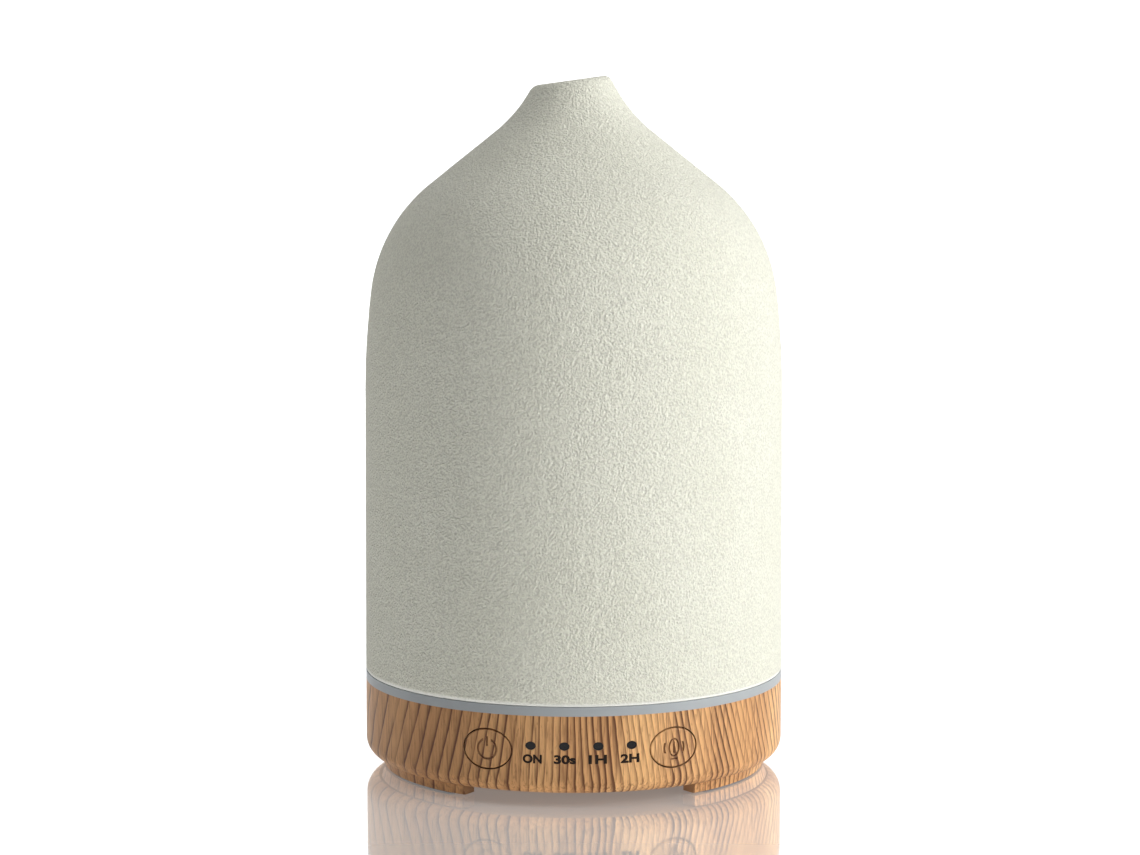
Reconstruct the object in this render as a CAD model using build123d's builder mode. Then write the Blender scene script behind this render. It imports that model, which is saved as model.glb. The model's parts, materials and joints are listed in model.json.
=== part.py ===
from build123d import *
import os
from math import cos, pi, radians, sin, sqrt, tan

# Ultrasonic essential oil diffuser: a stoneware cover over a water tank, on a low round base.
# Millimetres, +Z up, the origin on the table under the middle of the base, the controls to -Y.
# Angles round the body are counted from the front (-Y) towards +X.

# ---------------------------------------------------------------- overall
body_r = 50.0            # outside of the base, the light ring and the cover's foot
overall_h = 164.5        # table to the highest point of the spout
base_h = 21.1            # table to the top of the base housing
ring_band_h = 2.1        # light ring seen between base and cover

# ---------------------------------------------------------------- cover
cover_wall = 3.5
cover_draft = 0.34       # how much the wall leans in below the shoulder
shoulder_r, shoulder_turn = 199.0, 7.1
crown_r, crown_turn = 38.1, 44.3
hollow_r, hollow_turn = 34.3, 21.2
spout_r = 10.4           # outer radius where the hollow curve ends
spout_run = 2.7          # straight neck past the hollow curve
spout_slant = 7.7        # degrees, high on +X
rim_round = 2.4          # outside of the rim
rim_break = 0.8          # inside of the rim
foot_round = 0.9
cover_clear = 0.8        # cover to the light ring's collar

# ---------------------------------------------------------------- light ring
collar_t, collar_h = 1.6, 4.0
ledge_t, ledge_w = 1.0, 1.9
ring_rib_t, ring_rib_h = 1.6, 1.4
slip = 0.2               # clearance of parts that are lifted or dropped in by hand

# ---------------------------------------------------------------- base housing and its floor
housing_wall = 2.2
seam_z = 2.9             # lower edge of the housing
edge_r, edge_turn = 4.0, 75.0
lip_w = 1.8              # width of the housing's lower edge
plate_t = 1.7
plate_clear = 0.15
seam_gap = 0.2
foot_z = 0.4             # underside of the feet
foot_depth = 4.4
foot_lean = 0.8
foot_step = 0.5          # feet stand back from the housing's edge
neck_set = 0.3           # the feet join the plate this far inside its rim
foot_arc = 50.0
foot_count = 3
pad_t, pad_w, pad_arc = 0.9, 2.2, 38.0
screw_boss_r, screw_boss_h = 3.6, 2.0
small_boss_r, fan_boss_r = 2.4, 2.2
screw_recess_r, screw_recess_h, screw_clear_r = 2.8, 2.2, 1.5
slot_w, slot_pitch = 2.0, 3.8   # air grille

# ---------------------------------------------------------------- controls
button_angle, button_z = 25.1, 12.9
button_w, button_h = 11.66, 9.0
button_gap = 0.3
button_flange, flange_t = 0.9, 0.9
button_travel = 0.5
engrave = 0.35
window_pitch, window_z = 8.82, 14.25
window_w, window_h = 2.35, 1.88
window_clear = 0.04
switch_w, switch_h, switch_d = 6.2, 7.0, 3.5
switch_axis_h = 3.7      # plunger axis above its board
plunger_r, plunger_out, plunger_in = 1.7, 1.3, 1.5
stem_r, stem_gap = 1.5, 0.9
key_board_t, key_board_w, key_board_arc = 1.2, 10.0, 67.0
led_r, led_length = 1.5, 3.4
window_flange_w, window_flange_h, window_flange_t = 4.2, 3.6, 0.8
window_sunk = 0.12       # windows stand back from the housing's face
holder_d, holder_arc = 4.2, 33.0

# ---------------------------------------------------------------- tank and lid
tank_r, tank_wall, tank_h = 36.0, 1.8, 42.0
deck_t = 2.0
duct_r, duct_wall = 5.4, 1.4
duct_gap, duct_y = 5.4, 6.0
post_r, post_inset = 2.8, 5.5
water_ml = 100.0
lid_wall, lid_skirt = 1.5, 6.0
chimney_r, chimney_h, lid_rise = 8.6, 26.0, 18.0
seal_w, seal_t = 0.9, 0.7

# ---------------------------------------------------------------- piezo
piezo_x = 7.0
piezo_r, piezo_t = 10.0, 0.65
piezo_hole_r = 8.0
gasket_t, gasket_wall, gasket_lip = 2.6, 2.7, 1.9
seat_wall, retainer_t = 2.5, 1.2
retainer_screw_r = 16.6
retainer_boss_r, retainer_pilot_r = 2.4, 1.0

# ---------------------------------------------------------------- fan
fan_size, fan_t = 30.0, 7.0
fan_lift = 0.8           # filter space between floor and fan
fan_hole_inset = 3.0
fan_hub_r = 7.5
blade_count = 7
duct_flange_t = 1.0
fan_corner_r, fan_rim, fan_screw_clear = 2.4, 1.2, 1.4
grille_inset = 2.4

# ---------------------------------------------------------------- boards and jack
board_lift, board_t = 2.0, 1.6
board_edge_gap = 4.6
board_left, board_front = -5.4, -23.5
board_screw_clear = 1.1
jack_w, jack_h, jack_d = 9.0, 11.0, 10.6
jack_axis_h = 6.5
jack_nose_r, jack_recess = 4.3, 0.7
jack_bore_r, jack_bore_d = 3.15, 9.5
jack_pin_r, jack_root_r = 1.05, 1.35
jack_pin_sunk = 0.8
jack_back = 0.9          # jack body to the housing's inner face
terminal_w, terminal_t, terminal_clear = 1.1, 0.7, 0.2
led_board_w, led_board_t, led_board_drop = 2.8, 1.0, 2.7
led_board_gap = 22.0     # degrees left open at the back for the jack
ring_led_count = 8
socket_w, socket_d, socket_h = 6.0, 4.6, 5.5
wire_r, wire_pitch = 0.5, 1.8

# ---------------------------------------------------------------- screws
# head radius, head height, shank radius, length
case_screw = (2.4, 1.6, 1.2, 8.0)
key_screw = (1.8, 1.2, 0.9, 5.0)
piezo_screw = (1.8, 1.1, 0.9, 3.4)
fan_screw = (2.1, 1.4, 1.1, fan_t + duct_flange_t + 1.8)
board_screw = (1.9, 1.2, 0.9, 4.4)

# ---------------------------------------------------------------- levels and radii that follow
cover_z = base_h + ring_band_h
housing_in = body_r - housing_wall
lip_r = body_r - edge_r * (1 - cos(radians(edge_turn)))
lip_in = lip_r - lip_w
plate_top = seam_z + plate_t
boss_top = plate_top + screw_boss_h
collar_r = body_r - cover_wall - cover_clear
collar_in = collar_r - collar_t
deck_r = collar_in - slip
ledge_r = deck_r - ledge_w
deck_z = base_h + ledge_t
deck_top = deck_z + deck_t
tank_in = tank_r - tank_wall
rim_z = deck_top + tank_h
duct_out = duct_r + duct_wall
duct_x = -(tank_in - duct_out - duct_gap)
water_h = water_ml * 1000 / (pi * (tank_in**2 - duct_out**2))
post_ring = deck_r - post_inset
board_z = plate_top + board_lift
board_top = board_z + board_t
board_r = housing_in - board_edge_gap
key_board_z = button_z - switch_axis_h - key_board_t
key_top = key_board_z + key_board_t
flange_front = sqrt(housing_in**2 - (button_w / 2 + button_flange) ** 2) - slip
flange_back = flange_front - flange_t
plunger_front = flange_back - stem_gap
switch_front = plunger_front - plunger_out
key_board_r = switch_front + 0.3
seat_z = deck_z - gasket_t
retainer_z = seat_z - retainer_t
seat_r = piezo_hole_r + gasket_wall + gasket_lip
fan_z = plate_top + fan_lift
fan_top = fan_z + fan_t
duct_flange_top = fan_top + duct_flange_t
jack_z = board_top + jack_axis_h
jack_front = housing_in - jack_back
jack_face = body_r - jack_recess
led_board_z = base_h - led_board_drop
led_board_r = housing_in - 3.0
lead_z = retainer_z - 1.3


def around(angle, radius, z=0.0):
    """The point at an angle from the front, a radius and a height."""
    return (radius * sin(radians(angle)), -radius * cos(radians(angle)), z)


def wall_plane(angle, radius, z):
    """A plane that looks radially outwards: its x runs to the right, its y runs up."""
    return Plane(origin=around(angle, radius, z), x_dir=around(angle + 90, 1), z_dir=around(angle, 1))


def section_plane(angle):
    """A plane through the body's axis: its x runs outwards at that angle, its y runs up."""
    return Plane(origin=(0, 0, 0), x_dir=around(angle, 1), z_dir=around(angle - 90, 1))


def save(piece, name):
    """Label a finished piece and write it to its own file."""
    piece.part.label = name
    export_step(piece.part, f"parts/{name}.step")


def arc_run(heading, radius, turn):
    """Radial and vertical run of an arc that starts at a heading and turns, left if positive."""
    side = 1 if turn > 0 else -1
    start, end = radians(heading), radians(heading + turn)
    return side * radius * (sin(end) - sin(start)), side * radius * (cos(start) - cos(end))


def screws(name, planes, head_r, head_h, shank_r, length):
    """Pan-head screws: each plane lies on the head's seat and looks along the shank."""
    with BuildPart() as group:
        with BuildSketch(*planes):
            Circle(head_r)
        extrude(amount=-head_h)
        chamfer(group.edges().filter_by(GeomType.CIRCLE), head_h * 0.2)
        with BuildSketch(*planes):
            Circle(shank_r)
        extrude(amount=length)
        with BuildSketch(*[plane.offset(-head_h) for plane in planes]):
            Rectangle(head_r, head_r * 0.22)
            Rectangle(head_r * 0.22, head_r)
        extrude(amount=head_h * 0.6, mode=Mode.SUBTRACT)
    save(group, name)


def lead(name, routes):
    """Wires that run straight between rounded corners, one solid for each route."""
    with BuildPart() as wires:
        for points in routes:
            runs = [sqrt(sum((b - a) ** 2 for a, b in zip(p, q))) for p, q in zip(points, points[1:])]
            bends = []
            for i in range(1, len(points) - 1):
                before = Vector(points[i]) - Vector(points[i - 1])
                after = Vector(points[i + 1]) - Vector(points[i])
                half = radians(before.get_angle(after)) / 2
                bends.append(0.45 * min(runs[i - 1], runs[i]) / tan(half))
            with BuildLine() as route:
                FilletPolyline(*points, radius=bends)
            with BuildSketch(Plane(origin=points[0], z_dir=Vector(points[1]) - Vector(points[0]))):
                Circle(wire_r)
            sweep(path=route.line)
    save(wires, name)


os.makedirs("parts", exist_ok=True)

# ---------------------------------------------------------------- stoneware cover
# The wall, two outward curves, the cone, the hollow curve and the neck follow one another tangentially.
# The cone is as long as it takes to reach the spout's radius, the wall as high as the rest leaves.
# The rim's plane climbs by rim_climb to its high side, where the rounding takes rim_loss off the top.
shoulder_run = arc_run(90, shoulder_r, shoulder_turn)
crown_run = arc_run(90 + shoulder_turn, crown_r, crown_turn)
cone_heading = 90 + shoulder_turn + crown_turn
hollow_run = arc_run(cone_heading, hollow_r, -hollow_turn)
neck_heading = cone_heading - hollow_turn
cone_fall = body_r - cover_draft + shoulder_run[0] + crown_run[0] + hollow_run[0] - spout_r
cone_length = cone_fall / -cos(radians(cone_heading))
neck_rise = spout_run * sin(radians(neck_heading))
rise = shoulder_run[1] + crown_run[1] + hollow_run[1] + cone_length * sin(radians(cone_heading)) + neck_rise
slant = radians(spout_slant)
lean = radians(neck_heading - 90)
rim_climb = (spout_r - spout_run * sin(lean)) * tan(slant) / (1 + tan(lean) * tan(slant))
rim_loss = rim_round * ((sin(slant) + cos(lean)) / cos(lean - slant) - 1)
rim_mid = overall_h - rim_climb + rim_loss
wall_h = rim_mid - cover_z - rise
neck_spare = 6.0         # drawn past the rim and cut off by its slanted plane


def cover_outline(inset):
    """The cover's line from foot to neck, set in from the outside by a distance."""
    foot = Line((body_r - inset, cover_z), (body_r - cover_draft - inset, cover_z + wall_h))
    bend = JernArc(foot @ 1, (0, 1), shoulder_r - inset, shoulder_turn)
    crown = JernArc(bend @ 1, bend % 1, crown_r - inset, crown_turn)
    cone = Line(crown @ 1, crown @ 1 + (crown % 1) * cone_length)
    hollow = JernArc(cone @ 1, cone % 1, hollow_r + inset, -hollow_turn)
    return foot, Line(hollow @ 1, hollow @ 1 + (hollow % 1) * (spout_run + neck_spare))


with BuildPart() as ceramic_cover:
    with BuildSketch(Plane.XZ):
        with BuildLine():
            outer_foot, outer_neck = cover_outline(0)
            inner_foot, inner_neck = cover_outline(cover_wall)
            Line(outer_foot @ 0, inner_foot @ 0)
            Line(outer_neck @ 1, inner_neck @ 1)
        make_face()
    revolve(axis=Axis.Z)
    rim_tilt = (-sin(slant), 0, cos(slant))
    split(bisect_by=Plane(origin=(0, 0, rim_mid), z_dir=rim_tilt), keep=Keep.BOTTOM)
    fillet(ceramic_cover.faces().sort_by(Axis.Z)[-1].edges().sort_by(SortBy.LENGTH)[0], rim_break)
    fillet(ceramic_cover.faces().sort_by(Axis.Z)[-1].edges().sort_by(SortBy.LENGTH)[-1], rim_round)
    foot_edges = ceramic_cover.faces().sort_by(Axis.Z)[0].edges().sort_by(SortBy.LENGTH)
    fillet(foot_edges[-1], foot_round)
    chamfer(ceramic_cover.faces().sort_by(Axis.Z)[0].edges().sort_by(SortBy.LENGTH)[0], foot_round / 2)
save(ceramic_cover, "ceramic_cover")

# ---------------------------------------------------------------- light ring
with BuildPart() as light_ring:
    with BuildSketch(Plane.XZ):
        with BuildLine():
            Polyline(
                (ledge_r, base_h),
                (body_r, base_h),
                (body_r, cover_z),
                (collar_r, cover_z),
                (collar_r, cover_z + collar_h),
                (collar_in, cover_z + collar_h),
                (collar_in, deck_z),
                (ledge_r, deck_z),
                close=True,
            )
        make_face()
        with Locations((housing_in - slip - ring_rib_t / 2, base_h - ring_rib_h / 2)):
            Rectangle(ring_rib_t, ring_rib_h)
    revolve(axis=Axis.Z)
    chamfer(light_ring.faces().sort_by(Axis.Z)[-1].edges(), 0.3)
save(light_ring, "light_ring")

# ---------------------------------------------------------------- base housing
button_planes = [wall_plane(side * button_angle, body_r, button_z) for side in (-1, 1)]
window_angles = [(i - 1.5) * window_pitch for i in range(4)]
bracket_angles = (-150, -120, -90, -60, 60, 90, 120, 150)
bracket_h, bracket_w = 3.0, 2.4

with BuildPart() as base_housing:
    with BuildSketch(Plane.XZ):
        with BuildLine():
            side = Line((body_r, base_h), (body_r, seam_z + edge_r * sin(radians(edge_turn))))
            edge = JernArc(side @ 1, (0, -1), edge_r, -edge_turn)
            Polyline(
                edge @ 1,
                (lip_in, seam_z),
                (lip_in, plate_top + 0.3),
                (housing_in, plate_top + 2.6),
                (housing_in, base_h),
                side @ 0,
            )
        make_face()
    revolve(axis=Axis.Z)
    with BuildSketch(*[section_plane(angle) for angle in bracket_angles]):
        with BuildLine():
            Polyline(
                (housing_in + 0.5, led_board_z - bracket_h - 3.0),
                (housing_in + 0.5, led_board_z),
                (led_board_r - 0.6, led_board_z),
                (led_board_r - 0.6, led_board_z - bracket_h),
                close=True,
            )
        make_face()
    extrude(amount=bracket_w / 2, both=True)
    with BuildSketch(*button_planes):
        Ellipse(button_w / 2 + button_gap, button_h / 2 + button_gap)
    extrude(amount=-housing_wall * 1.6, mode=Mode.SUBTRACT)
    with BuildSketch(*[wall_plane(angle, body_r, window_z) for angle in window_angles]):
        Ellipse(window_w / 2 + window_clear, window_h / 2 + window_clear)
    extrude(amount=-housing_wall * 1.6, mode=Mode.SUBTRACT)
    with BuildSketch(wall_plane(180, body_r, jack_z)):
        Circle(jack_nose_r + slip)
    extrude(amount=-housing_wall * 1.6, mode=Mode.SUBTRACT)
save(base_housing, "base_housing")

# ---------------------------------------------------------------- bottom cover with its feet
plate_r = lip_in - plate_clear
foot_top_r = lip_r - foot_step
foot_in = foot_top_r - foot_depth
foot_angles = [60 + i * 360 / foot_count for i in range(foot_count)]
post_angles = (45, 135, 225, 315)
post_places = [around(angle, post_ring) for angle in post_angles]
board_screw_places = [(-2.2, 5.0), (36.5, -17.5), (21.0, 34.5)]
key_screw_places = [around(angle, key_board_r - key_board_w + 2.6)[:2] for angle in (-14, 14)]
fan_reach = fan_size / 2 - fan_hole_inset
fan_corners = (-fan_reach, fan_reach)
fan_screw_places = [(duct_x + x, duct_y + y) for x in fan_corners for y in fan_corners]
grille_r = fan_size / 2 - grille_inset
slot_side_count = int((grille_r - slot_w / 2) / slot_pitch)

with BuildPart() as bottom_cover:
    with BuildSketch(Plane.XY.offset(seam_z)):
        Circle(plate_r)
    extrude(amount=plate_t)
    with BuildSketch(*[section_plane(angle - foot_arc / 2) for angle in foot_angles]):
        with BuildLine():
            Polyline(
                (foot_in, foot_z),
                (foot_top_r - foot_lean, foot_z),
                (foot_top_r, seam_z - seam_gap),
                (plate_r - neck_set, seam_z - seam_gap),
                (plate_r - neck_set, seam_z + plate_t / 2),
                (foot_in, seam_z + plate_t / 2),
                close=True,
            )
        make_face()
    revolve(axis=Axis.Z, revolution_arc=foot_arc)
    with BuildSketch(Plane.XY.offset(plate_top)):
        with Locations(*[place[:2] for place in post_places]):
            Circle(screw_boss_r)
    extrude(amount=screw_boss_h)
    with BuildSketch(Plane.XY.offset(plate_top)):
        with Locations(*board_screw_places):
            Circle(small_boss_r)
    extrude(amount=board_lift)
    with BuildSketch(Plane.XY.offset(plate_top)):
        with Locations(*key_screw_places):
            Circle(small_boss_r)
    extrude(amount=key_board_z - plate_top)
    with BuildSketch(Plane.XY.offset(plate_top)):
        with Locations(*fan_screw_places):
            Circle(fan_boss_r)
    extrude(amount=fan_lift)
    # screw holes: head recess and clearance under the posts, blind pilots for the small screws
    with BuildSketch(Plane.XY.offset(seam_z)):
        with Locations(*[place[:2] for place in post_places]):
            Circle(screw_recess_r)
    extrude(amount=screw_recess_h, mode=Mode.SUBTRACT)
    with BuildSketch(Plane.XY.offset(seam_z)):
        with Locations(*[place[:2] for place in post_places]):
            Circle(screw_clear_r)
    extrude(amount=boss_top - seam_z, mode=Mode.SUBTRACT)
    for places, top, pilot_r, depth in (
        (board_screw_places, board_z, 0.95, 3.2),
        (key_screw_places, key_board_z, 0.95, 4.2),
        (fan_screw_places, fan_z, 1.15, 2.1),
    ):
        with BuildSketch(Plane.XY.offset(top)):
            with Locations(*places):
                Circle(pilot_r)
        extrude(amount=-depth, mode=Mode.SUBTRACT)
    # air grille under the fan: straight slots inside a circle
    with BuildSketch(Plane.XY.offset(seam_z)):
        for i in range(-slot_side_count, slot_side_count + 1):
            reach = sqrt(grille_r**2 - (i * slot_pitch) ** 2)
            with Locations((duct_x, duct_y + i * slot_pitch)):
                SlotOverall(2 * reach, slot_w)
    extrude(amount=plate_t, mode=Mode.SUBTRACT)
    # recesses for the pads
    with BuildSketch(*[section_plane(angle - pad_arc / 2) for angle in foot_angles]):
        with Locations((foot_top_r - foot_lean - foot_depth / 2 + 0.3, foot_z)):
            Rectangle(pad_w + 0.1, 2 * (pad_t - foot_z))
    revolve(axis=Axis.Z, revolution_arc=pad_arc, mode=Mode.SUBTRACT)
save(bottom_cover, "bottom_cover")

with BuildPart() as foot_pads:
    with BuildSketch(*[section_plane(angle - pad_arc / 2 + 0.1) for angle in foot_angles]):
        with Locations((foot_top_r - foot_lean - foot_depth / 2 + 0.3, pad_t / 2)):
            Rectangle(pad_w, pad_t)
    revolve(axis=Axis.Z, revolution_arc=pad_arc - 0.2)
    chamfer(foot_pads.edges().group_by(Axis.Z)[0].filter_by(GeomType.CIRCLE), 0.2)
save(foot_pads, "foot_pads")

screw_seat = seam_z + screw_recess_h
screws("case_screws", [Plane(origin=(x, y, screw_seat)) for x, y, _ in post_places], *case_screw)

# ---------------------------------------------------------------- push buttons
trim_r = body_r + 8.0


def push_button(name, plane_angle, draw_icon):
    """An oval cap flush with the housing, its retaining flange and the stem that reaches the switch."""
    with BuildPart() as cap:
        with BuildSketch(wall_plane(plane_angle, flange_back, button_z)):
            Ellipse(button_w / 2, button_h / 2)
        extrude(amount=body_r - flange_back + 1.0)
        with BuildSketch(Plane.XY):
            Circle(trim_r)
            Circle(body_r, mode=Mode.SUBTRACT)
        extrude(amount=base_h, mode=Mode.SUBTRACT)
        fillet(cap.faces().filter_by(GeomType.CYLINDER).edges(), 0.35)
        with BuildSketch(wall_plane(plane_angle, flange_back, button_z)):
            Ellipse(button_w / 2 + button_flange, button_h / 2 + button_flange)
        extrude(amount=flange_t)
        with BuildSketch(wall_plane(plane_angle, flange_back, button_z)):
            Circle(stem_r)
        extrude(amount=plunger_front - flange_back)
        with BuildSketch(wall_plane(plane_angle, body_r + 0.5, button_z)):
            draw_icon()
        extrude(amount=-(engrave + 0.5), mode=Mode.SUBTRACT)
    save(cap, name)


def power_icon():
    """An open ring with a short bar in its gap."""
    Circle(2.55)
    Circle(2.0, mode=Mode.SUBTRACT)
    with Locations((0, 2.3)):
        Rectangle(1.9, 2.0, mode=Mode.SUBTRACT)
    with Locations((0, 1.75)):
        SlotOverall(2.3, 0.55, rotation=90)


def lamp_icon():
    """A bulb with its filament, between two arcs of light."""
    Ellipse(2.75, 3.1)
    Ellipse(2.25, 2.6, mode=Mode.SUBTRACT)
    with Locations((0, 3.0), (0, -3.0)):
        Rectangle(6.0, 3.6, mode=Mode.SUBTRACT)
    Ellipse(1.45, 2.2)
    Ellipse(1.0, 1.75, mode=Mode.SUBTRACT)
    Rectangle(0.4, 2.6)
    with Locations((0, -2.6)):
        SlotOverall(1.9, 0.45)


push_button("power_button", -button_angle, power_icon)
push_button("light_button", button_angle, lamp_icon)

for switch_name, switch_angle in (("power", -button_angle), ("light", button_angle)):
    with BuildPart() as switch_body:
        middle = key_top + switch_h / 2
        with BuildSketch(wall_plane(switch_angle, switch_front, middle)):
            Rectangle(switch_w, switch_h)
        extrude(amount=-switch_d)
        chamfer(switch_body.faces().sort_by(SortBy.AREA)[-1].edges(), 0.2)
        with BuildSketch(wall_plane(switch_angle, switch_front, button_z)):
            Circle(plunger_r + 0.08)
        extrude(amount=-(plunger_in + button_travel + 0.3), mode=Mode.SUBTRACT)
    save(switch_body, f"{switch_name}_switch")

    with BuildPart() as switch_plunger:
        with BuildSketch(wall_plane(switch_angle, plunger_front, button_z)):
            Circle(plunger_r)
        extrude(amount=-(plunger_out + plunger_in))
    save(switch_plunger, f"{switch_name}_switch_plunger")

# ---------------------------------------------------------------- indicator windows and their lamps
window_flange = housing_in - 0.25
with BuildPart() as indicator_windows:
    with BuildSketch(*[wall_plane(angle, window_flange, window_z) for angle in window_angles]):
        Rectangle(window_flange_w, window_flange_h)
    extrude(amount=-window_flange_t)
    with BuildSketch(*[wall_plane(angle, window_flange, window_z) for angle in window_angles]):
        Ellipse(window_w / 2, window_h / 2)
    extrude(amount=body_r - window_sunk - window_flange)
save(indicator_windows, "indicator_windows")

led_front = window_flange - 2.4
with BuildPart() as indicator_leds:
    with BuildSketch(*[wall_plane(angle, led_front, window_z) for angle in window_angles]):
        Circle(led_r)
    extrude(amount=-led_length)
    front_edges = indicator_leds.faces().filter_by(GeomType.PLANE).edges()
    fillet(front_edges.sort_by_distance((0, -body_r, window_z))[:1], 0.2)
save(indicator_leds, "indicator_leds")

holder_r = led_front - 0.3
holder_top = window_z + 2.7
with BuildPart() as led_holder:
    with BuildSketch(section_plane(-holder_arc / 2)):
        with Locations((holder_r - holder_d / 2, (key_top + holder_top) / 2)):
            Rectangle(holder_d, holder_top - key_top)
    revolve(axis=Axis.Z, revolution_arc=holder_arc)
    with BuildSketch(*[wall_plane(angle, holder_r + 1, window_z) for angle in window_angles]):
        Circle(led_r + 0.05)
    extrude(amount=-(holder_d + 2), mode=Mode.SUBTRACT)
save(led_holder, "led_holder")

key_start = -key_board_arc / 2
with BuildPart() as key_board:
    with BuildSketch(section_plane(key_start)):
        with Locations((key_board_r - key_board_w / 2, key_board_z + key_board_t / 2)):
            Rectangle(key_board_w, key_board_t)
    revolve(axis=Axis.Z, revolution_arc=key_board_arc)
    with BuildSketch(Plane.XY.offset(key_board_z)):
        with Locations(*key_screw_places):
            Circle(board_screw_clear)
    extrude(amount=key_board_t, mode=Mode.SUBTRACT)
save(key_board, "key_board")

key_screw_planes = [Plane(origin=(x, y, key_top), z_dir=(0, 0, -1)) for x, y in key_screw_places]
screws("key_board_screws", key_screw_planes, *key_screw)

# ---------------------------------------------------------------- water tank on its deck
with BuildPart() as water_tank:
    with BuildSketch(Plane.XZ):
        with BuildLine():
            Polyline(
                (0, deck_z),
                (deck_r, deck_z),
                (deck_r, deck_top),
                (tank_r, deck_top),
                (tank_r, rim_z),
                (tank_in, rim_z),
                (tank_in, deck_top),
                (0, deck_top),
                close=True,
            )
        make_face()
        with Locations((tank_in, deck_top + water_h)):
            RegularPolygon(0.5, 4)
    revolve(axis=Axis.Z)
    circles = water_tank.edges().filter_by(GeomType.CIRCLE)
    floor_circles = circles.filter_by_position(Axis.Z, deck_top, deck_top)
    fillet([e for e in floor_circles if abs(e.radius - tank_in) < 0.01], 2.5)
    circles = water_tank.edges().filter_by(GeomType.CIRCLE)
    fillet(circles.filter_by_position(Axis.Z, rim_z, rim_z), tank_wall * 0.3)
    with BuildSketch(Plane.XY.offset(deck_z)):
        with Locations((duct_x, duct_y)):
            Circle(duct_out)
    extrude(amount=deck_t + tank_h - 6.0)
    with BuildSketch(Plane.XY.offset(deck_z)):
        with Locations((duct_x, duct_y)):
            Circle(duct_r)
        with Locations((piezo_x, 0)):
            Circle(piezo_hole_r)
    extrude(amount=deck_t + tank_h, mode=Mode.SUBTRACT)
    # seat of the piezo, its screw bosses and the posts down to the bottom cover
    with BuildSketch(Plane.XY.offset(deck_z)):
        with Locations((piezo_x, 0)):
            Circle(seat_r + seat_wall)
            Circle(seat_r, mode=Mode.SUBTRACT)
            with PolarLocations(retainer_screw_r, 3):
                Circle(retainer_boss_r)
                Circle(retainer_pilot_r, mode=Mode.SUBTRACT)
    extrude(amount=-gasket_t)
    with BuildSketch(Plane.XY.offset(deck_z)):
        with Locations((piezo_x, 0)):
            Circle(seat_r)
            Circle(piezo_hole_r, mode=Mode.SUBTRACT)
    extrude(amount=-gasket_t, mode=Mode.SUBTRACT)
    with BuildSketch(Plane.XY.offset(deck_z)):
        with Locations(*[place[:2] for place in post_places]):
            Circle(post_r)
    extrude(amount=-(deck_z - boss_top))
    with BuildSketch(Plane.XY.offset(boss_top)):
        with Locations(*[place[:2] for place in post_places]):
            Circle(1.25)
    extrude(amount=9.0, mode=Mode.SUBTRACT)
    # groove of the deck seal
    with BuildSketch(Plane.XY.offset(deck_z)):
        Circle(deck_r - ledge_w / 2 + seal_w / 2)
        Circle(deck_r - ledge_w / 2 - seal_w / 2, mode=Mode.SUBTRACT)
    extrude(amount=seal_t, mode=Mode.SUBTRACT)
save(water_tank, "water_tank")

with BuildPart() as deck_seal:
    with BuildSketch(Plane.XY.offset(deck_z)):
        Circle(deck_r - ledge_w / 2 + seal_w / 2)
        Circle(deck_r - ledge_w / 2 - seal_w / 2, mode=Mode.SUBTRACT)
    extrude(amount=seal_t)
save(deck_seal, "deck_seal")

# ---------------------------------------------------------------- inner lid with its mist chimney
skirt_in = tank_r + 0.3
skirt_out = skirt_in + lid_wall
lid_top = rim_z + lid_wall
with BuildPart() as inner_lid:
    with BuildSketch(Plane.XZ):
        with BuildLine():
            outside = FilletPolyline(
                (skirt_out, rim_z - lid_skirt),
                (skirt_out, lid_top),
                (chimney_r + 1.2, lid_top + lid_rise),
                (chimney_r, lid_top + lid_rise + chimney_h),
                radius=(3.0, 7.0),
            )
            inside = FilletPolyline(
                (tank_in, rim_z),
                (tank_in - 1.2, lid_top - lid_wall * 0.6),
                (chimney_r + 1.2 - lid_wall, lid_top + lid_rise - lid_wall * 0.6),
                (chimney_r - lid_wall, lid_top + lid_rise + chimney_h),
                radius=(0.6, 7.0),
            )
            Line(outside @ 1, inside @ 1)
            Polyline(inside @ 0, (skirt_in, rim_z), (skirt_in, rim_z - lid_skirt), outside @ 0)
        make_face()
    revolve(axis=Axis.Z)
    fillet(inner_lid.faces().sort_by(Axis.Z)[-1].edges(), lid_wall * 0.3)
save(inner_lid, "inner_lid")

# ---------------------------------------------------------------- piezo stack under the tank floor
disc_z = deck_z - gasket_t * 0.55
gasket_r = seat_r - 0.1
with BuildPart() as piezo_gasket:
    with BuildSketch(Plane.XY.offset(seat_z)):
        with Locations((piezo_x, 0)):
            Circle(gasket_r)
            Circle(piezo_hole_r + 0.3, mode=Mode.SUBTRACT)
    extrude(amount=gasket_t)
    with BuildSketch(Plane.XY.offset(disc_z - 0.05)):
        with Locations((piezo_x, 0)):
            Circle(piezo_r + 0.1)
            Circle(piezo_hole_r - 1, mode=Mode.SUBTRACT)
    extrude(amount=piezo_t + 0.1, mode=Mode.SUBTRACT)
save(piezo_gasket, "piezo_gasket")

with BuildPart() as piezo_disc:
    with BuildSketch(Plane.XY.offset(disc_z)):
        with Locations((piezo_x, 0)):
            Circle(piezo_r)
    extrude(amount=piezo_t)
save(piezo_disc, "piezo_disc")

with BuildPart() as piezo_retainer:
    with BuildSketch(Plane.XY.offset(retainer_z)):
        with Locations((piezo_x, 0)):
            Circle(seat_r + seat_wall)
            with PolarLocations(retainer_screw_r, 3):
                Circle(retainer_boss_r + 0.2)
        with Locations((piezo_x, 0)):
            Circle(piezo_hole_r + 0.5, mode=Mode.SUBTRACT)
            with PolarLocations(retainer_screw_r, 3):
                Circle(retainer_pilot_r + 0.1, mode=Mode.SUBTRACT)
    extrude(amount=retainer_t)
save(piezo_retainer, "piezo_retainer")

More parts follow.
